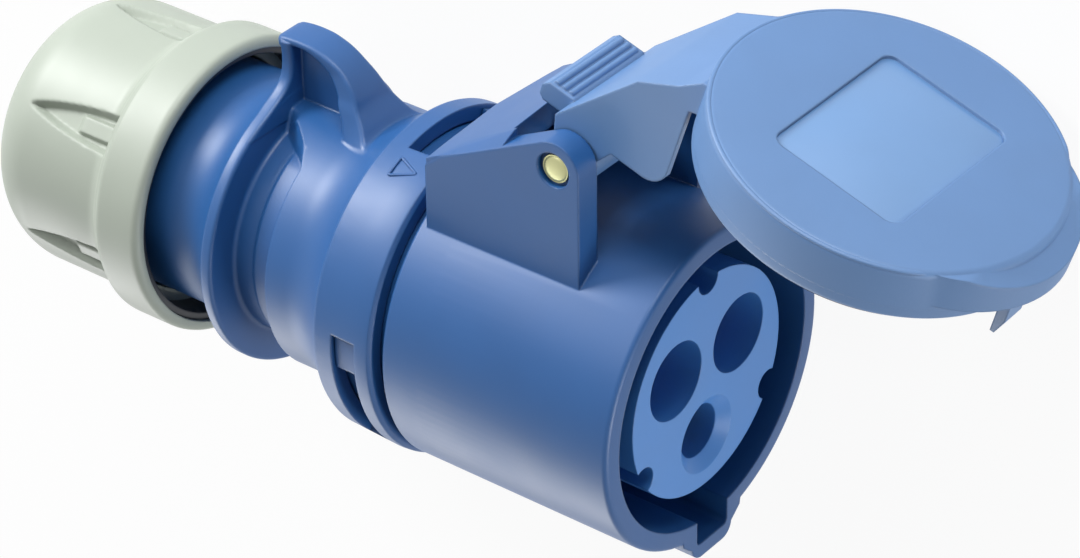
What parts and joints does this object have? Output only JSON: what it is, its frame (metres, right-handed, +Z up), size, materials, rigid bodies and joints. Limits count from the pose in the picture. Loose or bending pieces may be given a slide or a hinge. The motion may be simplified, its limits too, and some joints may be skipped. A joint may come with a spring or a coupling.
{
  "type": "pin and sleeve connector",
  "caption": "Blue industrial pin and sleeve connector lying on its side, its spring lid standing open over the contact holes, with a grip groove, a thumb hook and a pale fluted gland nut.",
  "frame": {"origin": "centre of the contact carrier's face", "axes": "+X out of the mating face along the connector, +Y towards the hinge of the lid, +Z up as the connector lies on its side"},
  "size_m": [0.1902, 0.0933, 0.0558],
  "materials": {
    "blue_shell": "moulded polyamide, satin with a fine grain",
    "blue_insert": "moulded polyamide, smooth satin",
    "blue_lid": "moulded polyamide, fine spark-eroded grain",
    "grey_insert": "moulded polyamide, smooth",
    "grey_nut": "moulded polyamide, pale grey-green, satin",
    "dark_insert": "moulded polyamide, dark",
    "seal_rubber": "moulded elastomer",
    "contact_brass": "turned and nickel-washed brass",
    "zinc_screw": "zinc-plated steel",
    "spring_steel": "drawn spring wire",
    "pin_metal": "turned pin with a pale nickel-brass colour"
  },
  "bodies": {
    "connector_front": {"front_housing": "blue_shell", "spigot": "blue_shell", "contact_carrier": "blue_insert", "earth_carrier": "blue_insert", "carrier_base": "blue_insert", "retainer_plate": "grey_insert", "plate_screws": "zinc_screw", "line_contact": "contact_brass", "neutral_contact": "contact_brass", "earth_contact": "contact_brass", "contact_springs": "spring_steel", "terminal_screws": "zinc_screw", "hinge_pin": "pin_metal", "lid_spring": "spring_steel", "housing_seal": "seal_rubber"},
    "lid_group": {"lid": "blue_lid", "lid_gasket": "seal_rubber"},
    "rear_group": {"rear_housing": "blue_shell", "clamp_collet": "dark_insert", "cable_seal": "seal_rubber"},
    "gland_group": {"gland_nut": "grey_nut", "nut_liner": "dark_insert"}
  },
  "joints": [
    {"name": "lid_hinge", "type": "hinge", "parent": "connector_front", "child": "lid_group", "pos_m": [-0.01585, 0.0403, 0], "axis": [0, 0, 1], "range_deg": [-72.4, 20]},
    {"name": "rear_twist", "type": "hinge", "parent": "connector_front", "child": "rear_group", "pos_m": [-0.04865, 0, 0], "axis": [1, 0, 0], "range_deg": [-36, 0]},
    {"name": "nut_turn", "type": "hinge", "parent": "rear_group", "child": "gland_group", "pos_m": [-0.09865, 0, 0], "axis": [1, 0, 0], "continuous": true}
  ]
}
